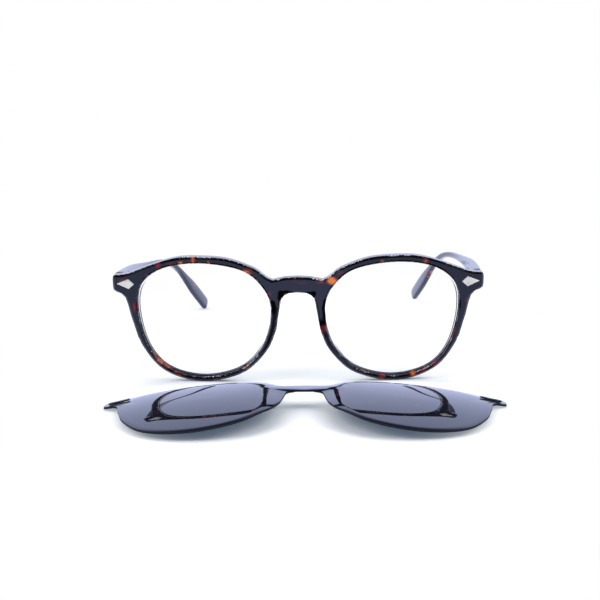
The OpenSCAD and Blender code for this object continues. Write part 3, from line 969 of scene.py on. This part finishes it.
class MakeLenses(PieceOperator, bpy.types.Operator):
    """Makes the two clear lenses"""

    bl_idname = "eyeglasses.lenses"
    bl_label = "Clear lenses"

    def execute(self, context):
        look = context.scene.eyeglasses_lens
        material = clear_glass("clear_lens", look)
        for side in SIDES:
            lens = copy_of(f"lens_{side}", f"clear_lens_{side}")
            soften(lens, look.clear_edge, math.radians(30))
            shade_smooth(lens, math.radians(30))
            dress(lens, material, "front", "clear_lens", f"lens_{side}")
        shadow = seat_shadow("lens_seat_shadow")
        for side in SIDES:
            self.make_seat_line(side, look, shadow)
        return {"FINISHED"}

    def make_seat_line(self, side, look, material):
        """A thin tube of painted shade behind a lens, where the back of its edge meets the groove."""
        line = copy_of(f"lens_{side}", f"lens_seat_{side}")
        facing = {}
        for face in line.data.polygons:
            for edge in face.edge_keys:
                facing.setdefault(edge, set()).add(face.normal.y > 0)
        bpy.ops.object.mode_set(mode="EDIT")
        bpy.ops.mesh.select_mode(type="EDGE")
        bpy.ops.mesh.select_all(action="DESELECT")
        bpy.ops.object.mode_set(mode="OBJECT")
        for edge in line.data.edges:
            edge.select = len(facing[edge.key]) == 2
        bpy.ops.object.mode_set(mode="EDIT")
        bpy.ops.mesh.select_all(action="INVERT")
        bpy.ops.mesh.delete(type="EDGE")
        bpy.ops.mesh.select_all(action="SELECT")
        low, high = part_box(f"lens_{side}")
        inset = 1 - look.seat_inset / (high.z - low.z) * 2
        bpy.ops.transform.resize(value=(inset, 1.0, inset), center_override=(low + high) / 2)
        bpy.ops.transform.translate(value=(0.0, look.seat_back, 0.0))
        bpy.ops.object.mode_set(mode="OBJECT")
        bpy.ops.object.convert(target="CURVE")
        line.data.bevel_depth = look.seat_line
        line.data.bevel_resolution = 2
        bpy.ops.object.convert(target="MESH")
        shade_smooth(line, math.radians(60))
        dress(line, material, "front", "clear_lens")


class MakePlaques(PieceOperator, bpy.types.Operator):
    """Makes the kite plaques on the end pieces"""

    bl_idname = "eyeglasses.plaques"
    bl_label = "Plaques"

    def execute(self, context):
        look = context.scene.eyeglasses_metal
        material = satin_metal("champagne_satin", look.champagne, 0.12 * MM, 0.3, 0.4)
        for side in SIDES:
            plaque = copy_of(f"plaque_{side}", f"kite_plaque_{side}")
            soften(plaque, look.plaque_edge, math.radians(30), 3)
            shade_smooth(plaque, math.radians(30))
            dress(plaque, material, "front", "plaque_metal", f"plaque_{side}")
        return {"FINISHED"}


class MakeHinges(PieceOperator, bpy.types.Operator):
    """Makes the five-barrel hinges and their screws"""

    bl_idname = "eyeglasses.hinges"
    bl_label = "Hinges"

    def execute(self, context):
        look = context.scene.eyeglasses_metal
        material = satin_metal("nickel_silver", look.steel, 0.1 * MM, 0.24)
        for side in SIDES:
            rides = {"front_hinge": "front", "temple_hinge": f"temple_{side}", "hinge_screw": "front"}
            for kind, body in rides.items():
                part = copy_of(f"{kind}_{side}", f"{kind}_{side}_finished")
                soften(part, look.hinge_edge, math.radians(40))
                shade_smooth(part, math.radians(35))
                dress(part, material, body, "hinge_steel", f"{kind}_{side}")
        return {"FINISHED"}


class FinishHidden(PieceOperator, bpy.types.Operator):
    """Finishes the core wires and the magnets in their pockets, which stay as packed"""

    bl_idname = "eyeglasses.hidden"
    bl_label = "Core wires and magnets"

    def execute(self, context):
        look = context.scene.eyeglasses_metal
        wire = satin_metal("core_wire_steel", look.steel, 0.1 * MM, 0.3)
        magnet = satin_metal("magnet_nickel", look.steel, 0.2 * MM, 0.22)
        for side in SIDES:
            repaint(f"core_wire_{side}", wire)
            repaint(f"front_magnet_{side}", magnet)
        return {"FINISHED"}


class MakeTemples(PieceOperator, bpy.types.Operator):
    """Makes the two acetate temples"""

    bl_idname = "eyeglasses.temples"
    bl_label = "Temples"

    def execute(self, context):
        look = context.scene.eyeglasses_acetate
        material = tortoise("tortoise_temples", look, (1.0, 0.6, 1.2), 0.8, look.glare * 0.65, TEMPLE_FLECKS)
        for side in SIDES:
            temple = copy_of(f"temple_{side}", f"temple_acetate_{side}")
            soften(temple, look.edge, math.radians(40))
            shade_smooth(temple, math.radians(40))
            dress(temple, material, f"temple_{side}", "temple_acetate", f"temple_{side}")
        return {"FINISHED"}


class MakeClip(PieceOperator, bpy.types.Operator):
    """Makes the tinted clip-on sheet"""

    bl_idname = "eyeglasses.clip"
    bl_label = "Clip-on sheet"

    def execute(self, context):
        look = context.scene.eyeglasses_lens
        sheet = copy_of("clip_sheet", "tinted_sheet")
        soften(sheet, look.sheet_edge, math.radians(40))
        shade_smooth(sheet, math.radians(30))
        dress(sheet, tinted_sheet("tinted_hard_coat", look), "clip", "tinted_lens", "clip_sheet")
        sheet.data.materials.append(milled_edge("milled_edge"))
        for face in sheet.data.polygons:
            face.material_index = int(abs(face.normal.z) < 0.6)
        return {"FINISHED"}


class MakeStrips(PieceOperator, bpy.types.Operator):
    """Makes the bent magnet strips of the clip-on"""

    bl_idname = "eyeglasses.strips"
    bl_label = "Clip-on strips"

    def execute(self, context):
        look = context.scene.eyeglasses_metal
        material = satin_metal("gunmetal_plating", look.gunmetal, 0.12 * MM, 0.5, 0.5)
        for side in SIDES:
            strip = copy_of(f"clip_magnet_{side}", f"clip_strip_{side}")
            soften(strip, 0.08 * MM, math.radians(40))
            shade_smooth(strip, math.radians(35))
            dress(strip, material, "clip", "clip_magnet_strip", f"clip_magnet_{side}")
            self.make_pips(strip, side, look)
        return {"FINISHED"}

    def make_pips(self, strip, side, look):
        """Four bright pips in a row on the inner arm of a strip."""
        low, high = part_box(f"clip_magnet_{side}")
        middle = (low + high) / 2
        outward = -1 if side == "left" else 1
        pips = []
        for reach in PIP_REACHES:
            x = middle.x - outward * reach
            y = middle.y + PIP_SLOPE * reach - PIP_DROP
            _, place, facing, _ = strip.ray_cast(Vector((x, y, high.z + MM)), Vector((0, 0, -1)))
            turn = facing.to_track_quat("Z", "X").to_euler()
            bpy.ops.mesh.primitive_cube_add(
                size=1.0, location=place, rotation=turn, scale=(look.pip, look.pip, look.pip)
            )
            pips.append(bpy.context.object)
        select_only(*pips)
        bpy.ops.object.join()
        row = bpy.context.object
        row.name = f"strip_pips_{side}"
        bpy.ops.object.transform_apply(location=True, rotation=True, scale=True)
        soften(row, look.pip / 8, math.radians(40))
        shade_smooth(row, math.radians(40))
        nickel = satin_metal(f"pip_nickel_{side}", look.champagne, 0.1 * MM, 0.3, 0.4)
        dress(row, nickel, "clip", "clip_magnet_strip")


# Studio


class BuildStudio(PieceOperator, bpy.types.Operator):
    """Sets up the table, the backdrop, the light and the camera"""

    bl_idname = "eyeglasses.studio"
    bl_label = "Studio"

    def execute(self, context):
        look = context.scene.eyeglasses_studio
        self.set_camera(context, look)
        self.set_table(look)
        self.set_backdrop(context, look)
        for name, place, size, power in LAMPS:
            self.set_lamp(name, place, size, getattr(look, power))
        context.scene.view_settings.view_transform = "Standard"
        return {"FINISHED"}

    def set_camera(self, context, look):
        camera = bpy.data.objects.new("camera", bpy.data.cameras.new("camera"))
        context.scene.collection.objects.link(camera)
        camera.data.sensor_width = 36.0
        camera.data.lens = look.lens
        camera.data.clip_start = 0.01
        aim = (
            Matrix.Rotation(look.camera_yaw, 4, "Z")
            @ Matrix.Rotation(math.pi / 2 - look.camera_pitch, 4, "X")
            @ Matrix.Rotation(-look.camera_roll, 4, "Z")
        )
        camera.matrix_world = Matrix.Translation(Vector(look.camera_place)) @ aim
        context.scene.camera = camera

    def set_table(self, look):
        """A pale table that fades to the white of the backdrop and keeps the object's shadow near it."""
        bpy.ops.object.select_all(action="DESELECT")
        just_below = (0.0, 0.0, -0.05 * MM)
        bpy.ops.mesh.primitive_grid_add(
            x_subdivisions=8, y_subdivisions=8, size=TABLE_SIZE, location=just_below
        )
        table = bpy.context.object
        table.name = "table"
        material = new_material("pale_table")
        finish = Finish(material)
        here = finish.here()
        polished = finish.ray("Glossy")
        seen = finish.ray("Camera").at_least(polished).at_least(finish.ray("Transmission"))
        paper = finish.noise(here, 0.4, 2.0, 0.5)
        dimmer = [level * 0.99 for level in look.table[:3]]
        tone = finish.blend(paper, solid(look.table), solid(dimmer))
        tone = finish.blend(polished, tone, solid(look.reflected))
        white = finish.blend(polished, (1.0, 1.0, 1.0, 1.0), solid(look.reflected))
        cool = finish.blend(polished, solid(look.shadow_tint), (0.0, 0.0, 0.0, 1.0))
        lift = finish.emission(cool, seen * look.table_lift)
        near = finish.node("ShaderNodeAddShader", None, {0: finish.diffuse(tone), 1: lift})
        oval = finish.length(finish.vector("MULTIPLY", here, TABLE_OVAL))
        away = finish.spread(oval, TABLE_KEPT, TABLE_GONE)
        finish.surface(finish.mix(away * seen, near, finish.emission(white, 1.0)))
        table.data.materials.append(material)

    def set_backdrop(self, context, look):
        """Even light from all round. The camera sees white, and polished surfaces see the paper's tint."""
        world = bpy.data.worlds.new("backdrop")
        context.scene.world = world
        finish = Finish(world)
        way = finish.node("ShaderNodeTexCoord", out="Generated")
        height = finish.part_of(way, "Z")
        behind = finish.spread(finish.part_of(way, "Y"), -0.3, 0.3, 0.6, 1.0)
        glow = behind * finish.spread(height, 0.60, 0.85, 1.0, 0.03)
        shown = finish.vector("SCALE", solid(look.reflected)[:3], scale=glow)
        even = (look.sky, look.sky, look.sky, 1.0)
        polished = finish.ray("Glossy").at_least(finish.ray("Transmission"))
        colour = finish.blend(polished, even, shown)
        colour = finish.blend(finish.ray("Camera"), colour, (1.0, 1.0, 1.0, 1.0))
        finish.background(finish.node("ShaderNodeBackground", None, {"Color": colour, "Strength": 1.0}))

    def set_lamp(self, name, place, size, power):
        lamp = bpy.data.objects.new(name, bpy.data.lights.new(name, "AREA"))
        bpy.context.scene.collection.objects.link(lamp)
        lamp.data.shape = "RECTANGLE"
        lamp.data.size, lamp.data.size_y = size
        lamp.data.energy = power
        lamp.location = place
        lamp.rotation_euler = (Vector((0, 0, 0)) - Vector(place)).to_track_quat("-Z", "Y").to_euler()
        lamp.visible_camera = False
        lamp.visible_glossy = False


class SidebarPanel(bpy.types.Panel):
    """Lists the sizes, the colours and the steps in the sidebar"""

    bl_idname = "VIEW3D_PT_eyeglasses"
    bl_label = "Eyeglasses"
    bl_space_type = "VIEW_3D"
    bl_region_type = "UI"
    bl_category = "Eyeglasses"

    def draw(self, context):
        for holder in PROPERTY_HOLDERS:
            group = getattr(context.scene, holder)
            box = self.layout.box()
            for name in group.bl_rna.properties.keys():
                if name not in {"rna_type", "name"}:
                    box.prop(group, name)
        for step in STEPS:
            self.layout.operator(step.bl_idname)


PROPERTY_HOLDERS = {
    "eyeglasses_acetate": AcetateLook,
    "eyeglasses_lens": LensLook,
    "eyeglasses_metal": MetalLook,
    "eyeglasses_studio": StudioLook,
}
STEPS = (
    BuildStudio,
    MakeFront,
    MakePads,
    MakeLenses,
    MakePlaques,
    MakeHinges,
    FinishHidden,
    MakeTemples,
    MakeClip,
    MakeStrips,
)


def register():
    for made in (*PROPERTY_HOLDERS.values(), *STEPS, SidebarPanel):
        bpy.utils.register_class(made)
    for holder, group in PROPERTY_HOLDERS.items():
        setattr(bpy.types.Scene, holder, PointerProperty(type=group))


def unregister():
    for holder in PROPERTY_HOLDERS:
        delattr(bpy.types.Scene, holder)
    for made in (SidebarPanel, *reversed(STEPS), *PROPERTY_HOLDERS.values()):
        bpy.utils.unregister_class(made)


def main():
    register()
    for step in STEPS:
        group, name = step.bl_idname.split(".")
        getattr(getattr(bpy.ops, group), name)()


if __name__ == "__main__":
    main()
